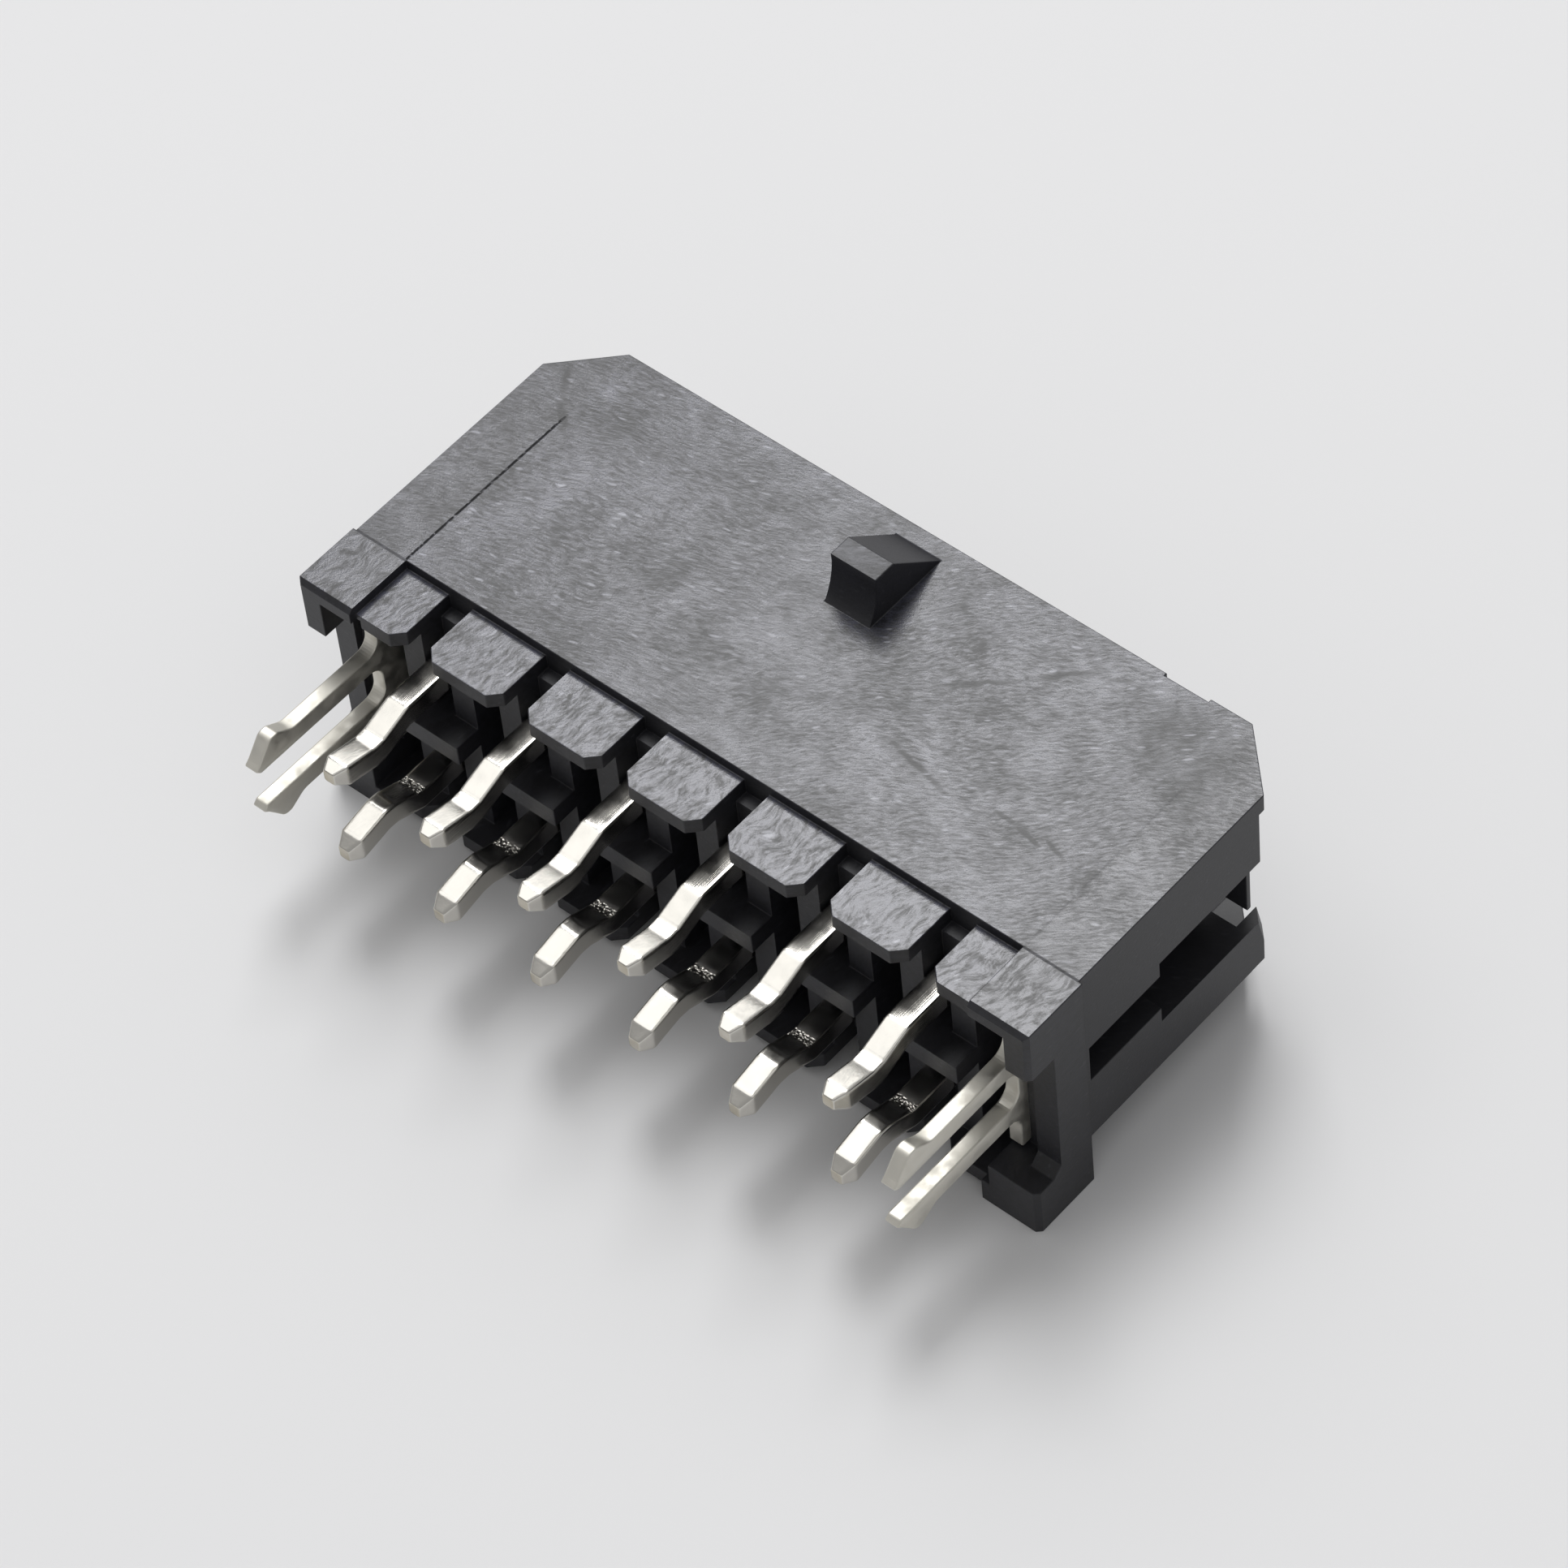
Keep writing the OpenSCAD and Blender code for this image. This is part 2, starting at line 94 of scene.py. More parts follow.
# Glass-filled nylon, injection moulded: a near-black satin skin. On the large faces the melt's flow shows as fine
# pale bluish hairlines, thicker in cloudy patches, with a bright dash where a glass fibre lies in the skin: partly the
# fibre's own paler colour and partly a painted glint of the light on it. A real fibre is 0.01 mm thick, too fine to
# show, so dashes and hairlines are drawn several times coarser. Sizes in mm.
plastic = {
    "skin": "#1a1a1e", "hair": "#50515d", "fibreGlint": "#b4b5c0", "lineColour": "#020202",
    "ior": 1.54,
    "roughness": (0.205, 0.385, 0.50, 0.90),    # pale and dark lines of the large faces, other faces, inside a line
    "top": 7.3, "seam": -1.3,           # height of the latch side, and Y of the step to the tongues
    "halfLength": 10.77,
    # where the flow shows: each pair is where it starts and where it is full
    "upright": (0.90, 0.98),            # Z share of the face's normal
    "topsBelow": (0.40, 0.30),          # depth below the latch side
    "rampAbove": (0.3, 0.1, 0.5),       # height above it, and the ramp's share
    "flatBelow": (0.12, 0.04),          # height on the flat side
    "otherFaces": 0.10,                 # what is left of it on all other faces
    "topSkin": (0.05, 0.02),            # depth below the latch side, for the marks and lines that it alone has
    "tongueBlend": 0.1,                 # length over which the tongues' own flow sets in
    # flow
    "hairline": (0.25, 0.062),          # length and width of a bundle; the finest lines in it are an eighth of that
    "feather": (0.42, 0.160),           # the same on the tongues, where the flow breaks up
    "hairNoise": (3.0, 0.72),           # detail and roughness
    "patch": 1.4, "patchNoise": (4.0, 0.6, 0.4),        # size of the clouds; detail, roughness and distortion
    "wander": (5.0, 0.7),               # spacing of the flow's bends, and how far they reach
    "wobble": (0.6, 0.10),              # the same for small bends
    "swirl": (0.9, 0.35),               # the same on the tongues
    "flowAngles": (17.0, 38.0, 80.0),   # degrees from X: left end, right end, tongues
    "turnAt": (-4.0, 3.0),              # X between which the flow turns
    "base": (0.17, 0.26), "swing": (1.15, 1.9),         # paleness and contrast of the hairlines, and on the tongues
    "patchShare": 0.68, "markShare": 0.27,              # how much clouds thicken the hairlines, and marks the clouds
    "paleFrom": (0.34, 0.76), "glossFrom": (0.3, 0.7),  # densities between which the skin turns pale, and glossy
    # fibres, whose pale dashes are partly a painted glint
    "fibreGlintRoom": (0.52, 0.15),          # room along and across the flow for one fibre
    "fibreGlintFill": (0.27, 0.13),          # its edge and core in that room
    "fibreGlintChance": (0.40, 0.52),        # share of the rooms that stay empty, and the brightest fibre
    # lines of the mould
    "parting": (9.22, 0.021, 4.4),      # X of the mould insert's line, its half width, and where it fades out in Y
    "lineEdge": (2.0, 0.6),             # half widths at which a line starts and is full
    "lineFade": 0.4, "lineStart": 0.02, # lengths over which it fades out and sets in
    "rightLine": (5.0, 0.08),           # X past which the line is the right end's, and its strength there
    "dotsPerMm": 9.0, "dotFrom": (0.30, 0.45),          # noise that breaks it up, and the values at which it is there
    "seamDepth": 0.4,                   # strength of the seam beside the parting line
    "blockBlend": 0.03, "endSkin": (0.06, 0.03),        # where the seam sets in on the end blocks and at the ends
    "outside": (0.02, 0.75),            # blend past the insert, and the flow's share there, where the skin is smoother
    # relief: grain of the mould, share of the hairlines, depth of a line, and bump strength and height
    "grain": 0.045, "hairRelief": 1.6, "lineRelief": -4.0, "bump": (0.5, 0.0045),
    # weld lines, clear and cloudy places on the latch side, and one painted shade at its far right corner: centre x y,
    # half sizes, degrees, and how much paler
    "marks": (
        (4.15, 1.15, 1.45, 0.12, -13.0, -1.7), (6.55, 1.24, 0.45, 0.09, 1.0, -1.6),
        (7.40, 1.13, 0.50, 0.09, -10.0, -1.6), (8.05, 1.21, 0.50, 0.09, -21.0, -1.6),
        (3.70, 3.85, 1.20, 0.14, 40.0, -1.7), (5.10, 5.20, 1.20, 0.16, 47.0, -1.5),
        # the first mark on this line, at the far right corner, is painted shade where the soft box's reflection falls
        # off
        (8.60, 5.00, 2.40, 1.60, -32.0, -1.0), (2.60, 1.10, 0.80, 0.34, -20.0, 1.1),
        (4.05, 1.52, 0.95, 0.19, -20.0, 1.2), (-8.90, 5.60, 0.70, 0.42, -50.0, 1.0),
        (9.60, 1.60, 0.50, 1.80, 0.0, 0.5), (-7.60, 2.60, 0.45, 1.50, -12.0, 0.7),
        (-10.00, 5.15, 0.75, 0.17, -59.0, -1.5), (-9.27, 4.20, 0.75, 0.17, -43.0, -1.5),
        (-8.30, 0.90, 0.55, 1.10, 0.0, 0.6),
    ),
    "markCore": 0.2,                    # share of a mark's half size that is at full strength
    "markBreak": (0.35, 0.6, 0.2),      # hairline values between which a mark grows, and what is left of it below
}


def plasticMaterial():
    material, tree = newMaterial("glassFilledNylon")
    add = lambda kind, wires=None, **settings: addNode(tree, kind, wires, **settings)
    p = plastic
    top, tongueY = p["top"], p["seam"]
    place = add("ShaderNodeTexCoord")["Object"]
    inMm = add("ShaderNodeMapping", {"Vector": place, "Scale": (mm, mm, mm)}, vector_type="TEXTURE")[0]
    xyz = add("ShaderNodeSeparateXYZ", {0: inMm})
    # the latch side with its tongues and the flat side lay against polished steel and show the flow, and the ramp
    # half as much; recessed faces that also face up are left out by their depth, which keeps them dark as painted shade
    facing = add("ShaderNodeSeparateXYZ", {0: add("ShaderNodeNewGeometry")["Normal"]})["Z"]
    upright = add("ShaderNodeMath", {0: facing}, operation="ABSOLUTE")[0]
    start, full = p["upright"]
    level = add("ShaderNodeMapRange", {"Value": upright, "From Min": start, "From Max": full})[0]
    start, full = p["topsBelow"]
    tops = add("ShaderNodeMapRange", {"Value": xyz["Z"], "From Min": top - start, "From Max": top - full})[0]
    start, full, share = p["rampAbove"]
    rampShare = add("ShaderNodeMapRange", {"Value": xyz["Z"], "From Min": top + start, "From Max": top + full,
                                           "To Min": share})[0]
    start, full = p["flatBelow"]
    flat = add("ShaderNodeMapRange", {"Value": xyz["Z"], "From Min": start, "From Max": full})[0]
    large = add("ShaderNodeMath", {0: tops, 1: rampShare, 2: flat}, operation="MULTIPLY_ADD")[0]
    shown = add("ShaderNodeMath", {0: large, 1: level}, operation="MULTIPLY")[0]
    start, full = p["topSkin"]
    onTop = add("ShaderNodeMapRange", {"Value": xyz["Z"], "From Min": top - start, "From Max": top - full})[0]
    onTongue = add("ShaderNodeMapRange", {"Value": xyz["Y"], "From Min": tongueY,
                                          "From Max": tongueY - p["tongueBlend"]})[0]
    # noise pushes the pattern sideways: far and slowly for the flow, a little for the marks, in curls on the tongues;
    # it runs from 0 to 1, so it is centred and doubled
    pushed = []
    for spacing, reach in (p["wander"], p["wobble"], p["swirl"]):
        bends = add("ShaderNodeTexNoise", {"Vector": inMm, "Scale": 1 / spacing, "Detail": 1.0})["Color"]
        centred = add("ShaderNodeVectorMath", {0: bends, 1: (0.5, 0.5, 0.5)}, operation="SUBTRACT")[0]
        pushed.append(add("ShaderNodeVectorMath", {0: centred, 1: (2 * reach, 2 * reach, 0), 2: inMm},
                          operation="MULTIPLY_ADD")[0])
    bent, wobbled, curled = pushed
    small = add("ShaderNodeVectorMath", {0: wobbled, 1: inMm}, operation="SUBTRACT")[0]
    flow = add("ShaderNodeVectorMath", {0: bent, 1: small}, operation="ADD")[0]
    # hairlines and fibres lie at one angle to the left, at another to the right and at a third on the tongues
    hairs, fibreGlints = [], []
    ways = (flow, p["hairline"]), (flow, p["hairline"]), (curled, p["feather"])
    for angle, (way, hairSize) in zip(p["flowAngles"], ways):
        laid = [add("ShaderNodeMapping", {"Vector": way, "Rotation": (0, 0, math.radians(angle)),
                                          "Scale": (length, width, width)}, vector_type="TEXTURE")[0]
                for length, width in (hairSize, p["fibreGlintRoom"])]
        detail, coarse = p["hairNoise"]
        hairs.append(add("ShaderNodeTexNoise", {"Vector": laid[0], "Scale": 1.0, "Detail": detail,
                                                "Roughness": coarse})["Fac"])
        rooms = add("ShaderNodeTexVoronoi", {"Vector": laid[1], "Scale": 1.0})
        edge, core = p["fibreGlintFill"]
        inside = add("ShaderNodeMapRange", {"Value": rooms["Distance"], "From Min": edge, "From Max": core})[0]
        chance = add("ShaderNodeSeparateColor", {0: rooms["Color"]})[0]
        empty, brightest = p["fibreGlintChance"]
        chosen = add("ShaderNodeMapRange", {"Value": chance, "From Min": empty, "From Max": 1.0,
                                            "To Max": brightest})[0]
        fibreGlints.append(add("ShaderNodeMath", {0: inside, 1: chosen}, operation="MULTIPLY")[0])
    turned = add("ShaderNodeMapRange", {"Value": xyz["X"], "From Min": p["turnAt"][0], "From Max": p["turnAt"][1]},
                 interpolation_type="SMOOTHSTEP")[0]
    mixed = []
    for left, right, curl in (hairs, fibreGlints):
        along = add("ShaderNodeMix", {0: turned, 2: left, 3: right})[0]
        mixed.append(add("ShaderNodeMix", {0: onTongue, 2: along, 3: curl})[0])
    hair, fibreGlint = mixed
    detail, coarse, distortion = p["patchNoise"]
    patch = add("ShaderNodeTexNoise", {"Vector": wobbled, "Scale": 1 / p["patch"], "Detail": detail,
                                       "Roughness": coarse, "Distortion": distortion})["Fac"]
    # marks in the flow, one of them painted shade, broken up by the hairlines
    marked = None
    for x, y, halfX, halfY, angle, amount in p["marks"]:
        local = add("ShaderNodeMapping", {"Vector": wobbled, "Location": (x, y, top), "Scale": (halfX, halfY, 1.0),
                                          "Rotation": (0, 0, math.radians(angle))}, vector_type="TEXTURE")[0]
        away = add("ShaderNodeVectorMath", {0: local}, operation="LENGTH")["Value"]
        spot = add("ShaderNodeMapRange", {"Value": away, "From Min": 1.0, "From Max": p["markCore"], "To Max": amount},
                   interpolation_type="SMOOTHSTEP")[0]
        marked = spot if marked is None else add("ShaderNodeMath", {0: marked, 1: spot}, operation="ADD")[0]
    start, full, share = p["markBreak"]
    uneven = add("ShaderNodeMapRange", {"Value": hair, "From Min": start, "From Max": full, "To Min": share})[0]
    for mask in (onTop, uneven):
        marked = add("ShaderNodeMath", {0: marked, 1: mask}, operation="MULTIPLY")[0]
    # the parting line of the mould's insert, broken into dots and faint at the right end
    insertX, halfWidth, fadeY = p["parting"]
    edge, core = (halfWidth * share for share in p["lineEdge"])
    fromMiddle = add("ShaderNodeMath", {0: xyz["X"]}, operation="ABSOLUTE")[0]
    fromLine = add("ShaderNodeMath", {0: fromMiddle, 1: insertX}, operation="SUBTRACT")[0]
    nearLine = add("ShaderNodeMath", {0: fromLine}, operation="ABSOLUTE")[0]
    line = add("ShaderNodeMapRange", {"Value": nearLine, "From Min": edge, "From Max": core})[0]
    ended = add("ShaderNodeMapRange", {"Value": xyz["Y"], "From Min": fadeY, "From Max": fadeY - p["lineFade"]})[0]
    begun = add("ShaderNodeMapRange", {"Value": xyz["Y"], "From Min": tongueY - p["lineStart"], "From Max": tongueY})[0]
    rightX, faint = p["rightLine"]
    leftEnd = add("ShaderNodeMapRange", {"Value": xyz["X"], "From Min": -rightX, "From Max": rightX,
                                         "To Min": 1.0, "To Max": faint})[0]
    dots = add("ShaderNodeTexNoise", {"Vector": inMm, "Scale": p["dotsPerMm"], "Detail": 1.0})["Fac"]
    start, full = p["dotFrom"]
    broken = add("ShaderNodeMapRange", {"Value": dots, "From Min": start, "From Max": full})[0]
    for mask in (ended, begun, leftEnd, broken, onTop):
        line = add("ShaderNodeMath", {0: line, 1: mask}, operation="MULTIPLY")[0]
    # a fine seam runs on from the groove over the end blocks and down the ends
    fromSeam = add("ShaderNodeMath", {0: xyz["Y"], 1: tongueY}, operation="SUBTRACT")[0]
    nearSeam = add("ShaderNodeMath", {0: fromSeam}, operation="ABSOLUTE")[0]
    seam = add("ShaderNodeMapRange", {"Value": nearSeam, "From Min": edge, "From Max": core,
                                      "To Max": p["seamDepth"]})[0]
    overBlock = add("ShaderNodeMapRange", {"Value": fromLine, "From Min": -p["blockBlend"], "From Max": 0.0})[0]
    start, full = (p["halfLength"] - depth for depth in p["endSkin"])
    atEnd = add("ShaderNodeMapRange", {"Value": fromMiddle, "From Min": start, "From Max": full})[0]
    onOutside = add("ShaderNodeMath", {0: onTop, 1: atEnd}, operation="MAXIMUM")[0]
    for mask in (overBlock, onOutside):
        seam = add("ShaderNodeMath", {0: seam, 1: mask}, operation="MULTIPLY")[0]
    line = add("ShaderNodeMath", {0: line, 1: seam}, operation="MAXIMUM")[0]
    blend, share = p["outside"]
    smoothSkin = add("ShaderNodeMapRange", {"Value": fromLine, "From Min": -blend, "From Max": blend,
                                            "To Min": 1.0, "To Max": share})[0]
    # hairlines thicken where the melt is cloudy and thin out along weld lines and in the painted shade at the far
    # corner
    cloudy = add("ShaderNodeMath", {0: marked, 1: p["markShare"], 2: patch}, operation="MULTIPLY_ADD")[0]
    base = add("ShaderNodeMapRange", {"Value": onTongue, "To Min": p["base"][0], "To Max": p["base"][1]})[0]
    thick = add("ShaderNodeMath", {0: cloudy, 1: p["patchShare"], 2: base}, operation="MULTIPLY_ADD")[0]
    swing = add("ShaderNodeMath", {0: hair, 1: 0.5}, operation="SUBTRACT")[0]
    stretch = add("ShaderNodeMapRange", {"Value": onTongue, "To Min": p["swing"][0], "To Max": p["swing"][1]})[0]
    dense = add("ShaderNodeMath", {0: swing, 1: stretch, 2: thick}, operation="MULTIPLY_ADD")[0]
    start, full = p["paleFrom"]
    fine = add("ShaderNodeMapRange", {"Value": dense, "From Min": start, "From Max": full})[0]
    held = add("ShaderNodeMapRange", {"Value": shown, "To Min": p["otherFaces"]})[0]
    for mask in (smoothSkin, held):
        fine = add("ShaderNodeMath", {0: fine, 1: mask}, operation="MULTIPLY")[0]
        fibreGlint = add("ShaderNodeMath", {0: fibreGlint, 1: mask}, operation="MULTIPLY")[0]
    skin, hairColour, fibreGlintColour, lineColour = (linear(p[key]) for key in ("skin", "hair", "fibreGlint", "lineColour"))
    haired = add("ShaderNodeMix", {0: fine, 6: skin, 7: hairColour}, data_type="RGBA")[2]
    # the fibre dashes' pale colour is partly the fibre's own and partly a painted glint
    glinted = add("ShaderNodeMix", {0: fibreGlint, 6: haired, 7: fibreGlintColour}, data_type="RGBA")[2]
    colour = add("ShaderNodeMix", {0: line, 6: glinted, 7: lineColour}, data_type="RGBA")[2]
    pale, dark, rest, inLine = p["roughness"]
    start, full = p["glossFrom"]
    rough = add("ShaderNodeMapRange", {"Value": dense, "From Min": start, "From Max": full,
                                       "To Min": dark, "To Max": pale})[0]
    rough = add("ShaderNodeMix", {0: shown, 2: rest, 3: rough})[0]
    rough = add("ShaderNodeMix", {0: line, 2: rough, 3: inLine})[0]
    grain = add("ShaderNodeTexNoise", {"Vector": inMm, "Scale": 1 / p["grain"], "Detail": 2.0})["Fac"]
    relief = add("ShaderNodeMath", {0: hair, 1: p["hairRelief"], 2: grain}, operation="MULTIPLY_ADD")[0]
    cut = add("ShaderNodeMath", {0: line, 1: p["lineRelief"], 2: relief}, operation="MULTIPLY_ADD")[0]
    strength, height = p["bump"]
    bump = add("ShaderNodeBump", {"Height": cut, "Strength": strength, "Distance": height * mm})[0]
    shader = add("ShaderNodeBsdfPrincipled", {"Base Color": colour, "Roughness": rough, "Normal": bump,
                                              "IOR": p["ior"]})[0]
    add("ShaderNodeOutputMaterial", {"Surface": shader})
    return material


# Bright tin on drawn brass wire: a soft mirror with faint draw lines, hammered where the kink was pressed, and
# brassy where the end was cut. Real draw lines are too fine to show, so they are drawn coarser. Sizes in mm.
tinWire = {"tin": "#d9d6cf", "roughness": 0.20, "lines": (1.6, 0.03)}
# Matt tin on stamped brass sheet: a soft cloudy sheen with short, broad lines
tinSheet = {"tin": "#dbd8cf", "roughness": 0.52, "lines": (0.5, 0.06)}
# for both: bump strength and height of the lines, and the clouds that change the gloss; only the wire has places
# that are pressed or cut
tinSkin = {
    "lineBump": (0.30, 0.006),
    "cloudsPerMm": 2.4, "cloudFrom": (0.3, 0.7), "glossSpread": (0.75, 1.3),
    "hammer": 0.075, "hammerBump": (1.0, 0.03),
    "brass": "#a3987c",
}


def tinMaterial(name, settings):
    material, tree = newMaterial(name)
    add = lambda kind, wires=None, **more: addNode(tree, kind, wires, **more)
    place = add("ShaderNodeTexCoord")["Object"]
    inMm = add("ShaderNodeMapping", {"Vector": place, "Scale": (mm, mm, mm)}, vector_type="TEXTURE")[0]
    length, width = settings["lines"]
    laid = add("ShaderNodeMapping", {"Vector": inMm, "Scale": (width, length, width)}, vector_type="TEXTURE")[0]
    lines = add("ShaderNodeTexNoise", {"Vector": laid, "Scale": 1.0, "Detail": 2.0})["Fac"]
    cells = add("ShaderNodeTexVoronoi", {"Vector": inMm, "Scale": 1 / tinSkin["hammer"]})["Distance"]
    pressed = add("ShaderNodeAttribute", attribute_name="pressed")["Fac"]
    cutEnd = add("ShaderNodeAttribute", attribute_name="cutEnd")["Fac"]
    hammered = add("ShaderNodeMath", {0: cells, 1: pressed}, operation="MULTIPLY")[0]
    strength, height = tinSkin["lineBump"]
    drawn = add("ShaderNodeBump", {"Height": lines, "Strength": strength, "Distance": height * mm})[0]
    strength, height = tinSkin["hammerBump"]
    bump = add("ShaderNodeBump", {"Height": hammered, "Strength": strength, "Distance": height * mm,
                                  "Normal": drawn})[0]
    clouds = add("ShaderNodeTexNoise", {"Vector": inMm, "Scale": tinSkin["cloudsPerMm"], "Detail": 4.0})["Fac"]
    start, full = tinSkin["cloudFrom"]
    least, most = (settings["roughness"] * share for share in tinSkin["glossSpread"])
    rough = add("ShaderNodeMapRange", {"Value": clouds, "From Min": start, "From Max": full,
                                       "To Min": least, "To Max": most})[0]
    bare = add("ShaderNodeMath", {0: cutEnd, 1: clouds}, operation="MULTIPLY")[0]
    tin, brass = linear(settings["tin"]), linear(tinSkin["brass"])
    colour = add("ShaderNodeMix", {0: bare, 6: tin, 7: brass}, data_type="RGBA")[2]
    shader = add("ShaderNodeBsdfPrincipled", {"Base Color": colour, "Metallic": 1.0, "Roughness": rough,
                                              "Normal": bump})[0]
    add("ShaderNodeOutputMaterial", {"Surface": shader})
    return material


housingPlastic = plasticMaterial()
wireTin = tinMaterial("brightTinOnBrassWire", tinWire)
sheetTin = tinMaterial("mattTinOnBrassSheet", tinSheet)
for name, node in nodes.items():
    dress(node, housingPlastic if name == "housing" else sheetTin if name.endswith("clip") else wireTin)
print("materials made")

# Moulded and stamped edges aren't knife sharp: the loose triangles are joined and the corners eased. Each piece has
# the width in mm, and whether its flats are plain outlines that are made whole first.
easing = {
    "pieces": {"housing": (0.024, False), "left_clip": (0.045, True), "right_clip": (0.045, True)},
    "joinWithin": 0.001,                # mm
    "flatWithin": 1.0, "sharperThan": 25.0,     # degrees
    "segments": 3,
}


def easeEdges(node, width, wholeFlats):
    weld = node.modifiers.new("join", "WELD")
    weld.merge_threshold = easing["joinWithin"] * mm
    if wholeFlats:
        flats = node.modifiers.new("flats", "DECIMATE")
        flats.decimate_type = "DISSOLVE"
        flats.angle_limit = math.radians(easing["flatWithin"])
    ease = node.modifiers.new("ease", "BEVEL")
    ease.width = width * mm
    ease.segments = easing["segments"]
    ease.limit_method = "ANGLE"
    ease.angle_limit = math.radians(easing["sharperThan"])
    ease.use_clamp_overlap = False      # one short edge would shrink every corner


for name, (width, wholeFlats) in easing["pieces"].items():
    easeEdges(nodes[name], width, wholeFlats)
print("edges eased")

# Square wire with rounded corners: a straight blade, and a solder tail that dips and comes back. Sizes in mm.
contact = {
    "corner": 0.06, "cornerMost": 0.6,  # radius left by the drawing die, and the most of a half side that it takes
    "bends": ((0.46, 0.0), (1.30, 0.93), (1.62, 1.0)),      # way below the board seat, and share of the kink's depth
    "bendRound": 0.14,                  # length over which a bend turns
    "kinkRest": 0.14,                   # offset left where the point starts
    "tailPoint": 0.34, "tailFlat": 0.32, "tailHigh": 0.36,      # length of its point, and width and height of the end
    "tipShift": 0.05,                   # the point leans to the kink's inner side
    "bladePoint": 0.60, "bladeFlat": 0.30,      # length of its point, and width of the end
    "endEase": 0.018,                   # both ends' edges
    "sideEdge": 0.2,                    # outer share of the half height over which a side's marks set in
    "crease": (1.31, 0.018, 0.024),     # place, depth and half width of the line left on the kink's inner side
    "press": (0.53, 0.15, 1.4),         # place, half length and reach in half lengths of the patch on its outer side
    "dent": (0.026, 0.17, 0.10),        # depth of its dents, and their spacing across and along
    "dentBend": (2.0, 0.43),            # how far the rows of dents bend, and how often
    "aboveSeat": 0.2, "beforePoint": 0.05,      # where the close rings end, and the last ring of the straight blade
    "cornerSteps": 5, "flatSteps": 7, "bendSteps": 9, "pointSteps": 4,
    "ringGap": 0.04, "dentGap": 0.0125,
}


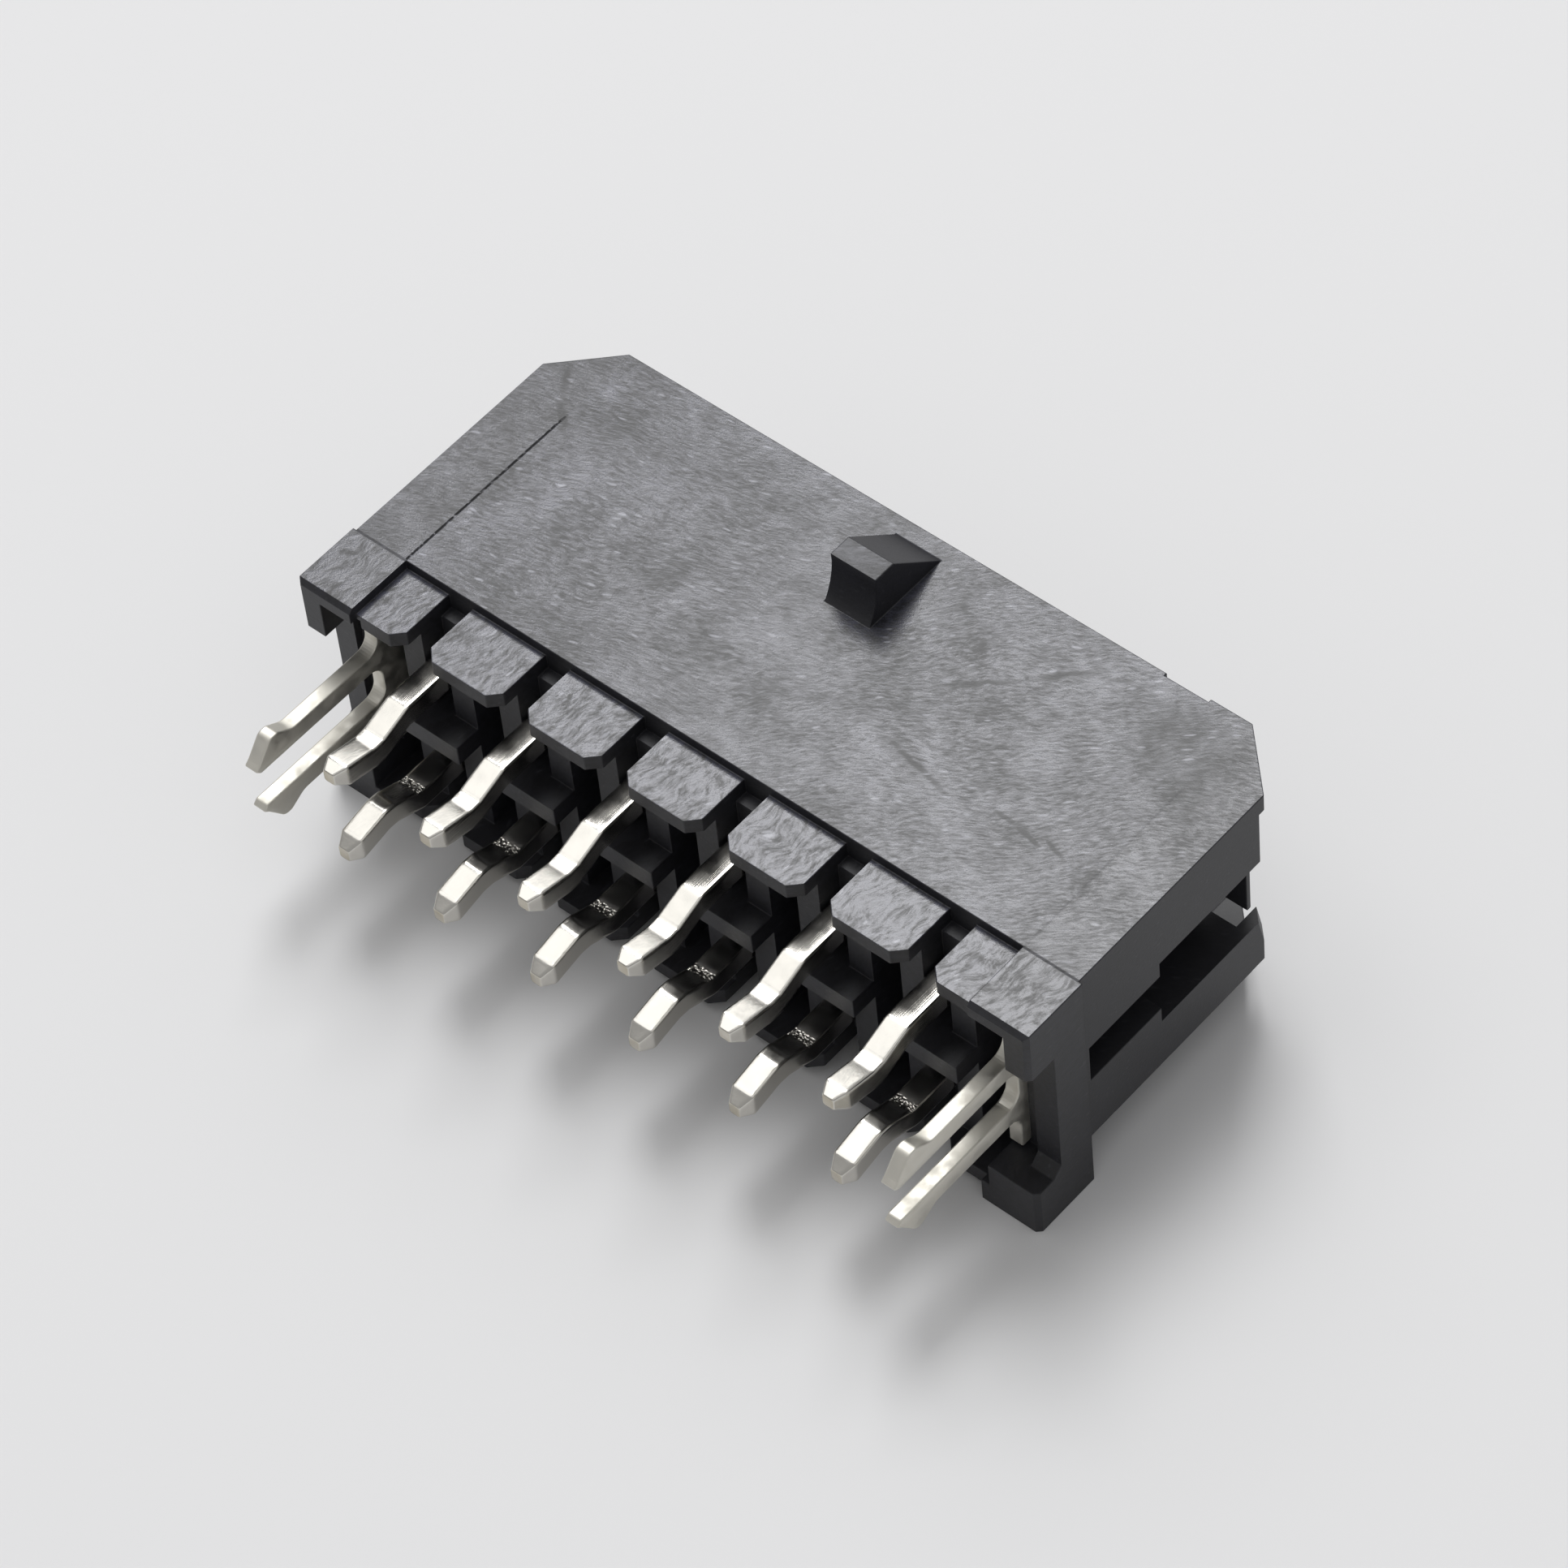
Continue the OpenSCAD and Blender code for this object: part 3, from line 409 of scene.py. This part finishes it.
# A rounded rectangle is carried along Y. Its half width and half height follow the points at both ends, and its
# middle follows straight runs between the bends, with each bend rounded by averaging along the wire. The pressed
# patch is a wave along the wire times a bent wave across it, fading out at its ends and edges.
def contactPiece(name):
    low, high = (np.array(corner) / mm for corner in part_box(name))
    side = 1.0 if name.startswith("upper") else -1.0
    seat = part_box("housing")[0][1] / mm
    wire = high[0] - low[0]
    depth = high[2] - low[2] - wire
    middle = high[2] - wire / 2 if side > 0 else low[2] + wire / 2
    c = contact
    tail, tip, ease, point = low[1], high[1], c["endEase"], high[1] - c["bladePoint"]
    pressAt, pressHalf, pressReach = c["press"]
    patch = seat - pressAt + np.arange(-pressReach * pressHalf, pressReach * pressHalf, c["dentGap"])
    tailRings = np.arange(tail + 2 * ease, seat + c["aboveSeat"], c["ringGap"])
    closeRings = np.unique(np.concatenate([tailRings, patch]).round(4))
    y = np.concatenate([[tail, tail, tail + ease], closeRings, [point - c["beforePoint"]],
                        np.linspace(point, tip - ease, c["pointSteps"]), [tip, tip]])
    inset = np.zeros(len(y))
    inset[[0, 1, -2, -1]] = (3 * ease, ease, ease, 3 * ease)
    atTail = np.clip((y - tail) / c["tailPoint"], 0, 1)
    atBlade = np.clip((tip - y) / c["bladePoint"], 0, 1)
    blade = c["bladeFlat"] + (wire - c["bladeFlat"]) * atBlade
    halfW = np.minimum(c["tailFlat"] + (wire - c["tailFlat"]) * atTail, blade) / 2 - inset
    halfH = np.minimum(c["tailHigh"] + (wire - c["tailHigh"]) * atTail, blade) / 2 - inset
    reach = np.array([0.0] + [b[0] for b in c["bends"]] + [seat - tail - c["tailPoint"], seat - tail])
    fall = np.array([0.0] + [b[1] * depth for b in c["bends"]] + [c["kinkRest"], c["kinkRest"]])
    turns = np.linspace(-0.5, 0.5, c["bendSteps"]) * c["bendRound"]
    drop = np.interp(seat - y[:, None] + turns, reach, fall).mean(1) - c["tipShift"] * (1 - atTail)
    radius = np.minimum(c["corner"], c["cornerMost"] * np.minimum(halfW, halfH))
    turn = np.linspace(0, np.pi / 2, c["cornerSteps"])
    share = np.linspace(0, 1, c["flatSteps"] + 2)[1:-1]
    # a quarter of the ring is an arc and the flat up to the next arc; four quarters make it whole
    across, upright = [], []
    for quarter, (sx, sz, nx, nz) in enumerate(((1, 1, -1, 1), (-1, 1, -1, -1), (-1, -1, 1, -1), (1, -1, 1, 1))):
        angle = turn + quarter * np.pi / 2
        arcX = sx * (halfW - radius)[:, None] + radius[:, None] * np.cos(angle)
        arcZ = sz * (halfH - radius)[:, None] + radius[:, None] * np.sin(angle)
        nextX = nx * (halfW - radius) + radius * np.cos(angle[-1])
        nextZ = nz * (halfH - radius) + radius * np.sin(angle[-1])
        across += [arcX, arcX[:, -1:] + (nextX[:, None] - arcX[:, -1:]) * share]
        upright += [arcZ, arcZ[:, -1:] + (nextZ[:, None] - arcZ[:, -1:]) * share]
    ringX, ringZ = np.hstack(across), np.hstack(upright)
    rings, count = ringX.shape
    height = ringZ / halfH[:, None]
    inner, outer = (np.clip((h - 1) / c["sideEdge"] + 1, 0, 1) for h in (height, -height))      # 1 on that side
    creaseAt, creaseDepth, creaseHalf = c["crease"]
    crease = creaseDepth * np.exp(-((seat - y - creaseAt) / creaseHalf) ** 2)
    pressed = outer * np.exp(-((seat - y - pressAt) / pressHalf) ** 4)[:, None]
    dentDepth, dentAcross, dentAlong = c["dent"]
    bendFar, bendOften = c["dentBend"]
    phase = 2 * np.pi * y[:, None] / dentAlong
    bentRow = 2 * np.pi * ringX / dentAcross + bendFar * np.sin(bendOften * phase)
    dents = dentDepth * pressed * np.sin(phase) * np.sin(bentRow)
    points = np.empty((rings, count, 3))
    points[..., 0] = (low[0] + high[0]) / 2 + ringX
    points[..., 1] = y[:, None]
    points[..., 2] = middle + side * (ringZ - drop[:, None] - inner * crease[:, None] + dentDepth * pressed + dents)
    cutEnd = np.zeros((rings, count))
    cutEnd[[0, 1, -2, -1]] = 1
    i, j = np.meshgrid(np.arange(rings - 1), np.arange(count), indexing="ij")
    k = (j + 1) % count
    quads = np.stack([i * count + j, i * count + k, (i + 1) * count + k, (i + 1) * count + j], -1).reshape(-1, 4)
    caps = [np.arange(count)[::-1], (rings - 1) * count + np.arange(count)]
    if side > 0:        # the mirrored row's faces are turned to point outwards
        quads, caps = quads[:, ::-1], [cap[::-1] for cap in caps]
    faces = quads.tolist() + [cap.tolist() for cap in caps]
    piece = meshPiece(name + "_wire", points.reshape(-1, 3) * mm, faces, wireTin,
                      {"pressed": pressed.ravel(), "cutEnd": cutEnd.ravel()})
    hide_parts(name)
    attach(piece, "root")


for name in sorted(nodes):
    if "contact" in name:
        contactPiece(name)
print("contacts drawn")


# unit vector towards a place on the sky: the azimuth turns from -Y towards +X, the elevation lifts it towards +Z
def skyward(azimuth, elevation):
    a, e = math.radians(azimuth), math.radians(elevation)
    return Vector((math.sin(a) * math.cos(e), -math.cos(a) * math.cos(e), math.sin(e)))


# Camera where the photograph was taken from, aimed at a point near the header's middle
shot = {
    "azimuth": 45.736, "elevation": 50.946, "roll": -6.586,     # degrees
    "aim": (0.333, 0.679, 4.300),       # mm
    "distance": 149.58,                 # mm
    "lens": 150.04, "sensor": 36.0,     # mm
    "clip": (0.01, 10.0),               # m
}


# the camera's right is the level direction turned by the roll, and its up is square to right and back
def makeCamera():
    a, roll = math.radians(shot["azimuth"]), math.radians(shot["roll"])
    back = skyward(shot["azimuth"], shot["elevation"])
    level = Vector((math.cos(a), math.sin(a), 0))
    right = level * math.cos(roll) + back.cross(level) * math.sin(roll)
    camera = bpy.data.objects.new("camera", bpy.data.cameras.new("camera"))
    turn = Matrix((right, back.cross(right), back)).transposed().to_4x4()
    camera.matrix_world = Matrix.Translation((Vector(shot["aim"]) + back * shot["distance"]) * mm) @ turn
    camera.data.lens = shot["lens"]
    camera.data.sensor_width = shot["sensor"]
    camera.data.clip_start, camera.data.clip_end = shot["clip"]
    bpy.context.scene.collection.objects.link(camera)
    bpy.context.scene.camera = camera


makeCamera()

# Pale board that the header lies on: half size in m, fleck size in mm, bump strength and height in mm
board = {"half": 1.5, "colour": "#e6e6e7", "roughness": 0.6, "fleck": 0.35, "bump": (0.1, 0.01)}


def makeFloor():
    material, tree = newMaterial("paleCoatedBoard")
    place = addNode(tree, "ShaderNodeTexCoord")["Object"]
    inMm = addNode(tree, "ShaderNodeMapping", {"Vector": place, "Scale": (mm, mm, mm)}, vector_type="TEXTURE")[0]
    fleck = addNode(tree, "ShaderNodeTexNoise", {"Vector": inMm, "Scale": 1 / board["fleck"], "Detail": 3.0})["Fac"]
    strength, height = board["bump"]
    bump = addNode(tree, "ShaderNodeBump", {"Height": fleck, "Strength": strength, "Distance": height * mm})[0]
    shader = addNode(tree, "ShaderNodeBsdfPrincipled", {"Base Color": linear(board["colour"]), "Normal": bump,
                                                        "Roughness": board["roughness"]})[0]
    addNode(tree, "ShaderNodeOutputMaterial", {"Surface": shader})
    h = board["half"]
    corners = np.array([[-h, -h, 0], [h, -h, 0], [h, h, 0], [-h, h, 0]])
    meshPiece("floor", corners, [(0, 1, 2, 3)], material)


makeFloor()

# A bright soft box high behind the header with a dim strip below it, two dim boxes to the left and in front, and an
# even surround. Angles in degrees, sizes in m, power in W.
light = {
    "boxes": {
        "softBox": {"azimuth": 221.5, "elevation": 63.0, "width": 0.20, "height": 0.34, "power": 1.82},
        "lowStrip": {"azimuth": 227.0, "elevation": 37.0, "width": 0.36, "height": 0.14, "power": 0.22},
        "leftBox": {"azimuth": 286.0, "elevation": 62.0, "width": 0.30, "height": 0.30, "power": 0.32},
        "frontBox": {"azimuth": 70.0, "elevation": 68.0, "width": 0.40, "height": 0.40, "power": 0.22},
    },
    "distance": 0.6, "surround": 0.36, "surroundColour": "#ffffff",
}


def makeLights():
    for name, box in light["boxes"].items():
        way = skyward(box["azimuth"], box["elevation"])
        lamp = bpy.data.objects.new(name, bpy.data.lights.new(name, "AREA"))
        lamp.data.shape = "RECTANGLE"
        lamp.data.size, lamp.data.size_y = box["width"], box["height"]
        lamp.data.energy = box["power"]
        lamp.location = way * light["distance"]
        lamp.rotation_mode = "QUATERNION"
        lamp.rotation_quaternion = way.to_track_quat("Z", "Y")
        bpy.context.scene.collection.objects.link(lamp)
    world = bpy.data.worlds.new("surround")
    world.use_nodes = True
    sky = world.node_tree.nodes["Background"].inputs
    sky["Color"].default_value = linear(light["surroundColour"])
    sky["Strength"].default_value = light["surround"]
    bpy.context.scene.world = world


makeLights()
bpy.context.scene.view_settings.view_transform = "Standard"
print("camera, floor and light made")
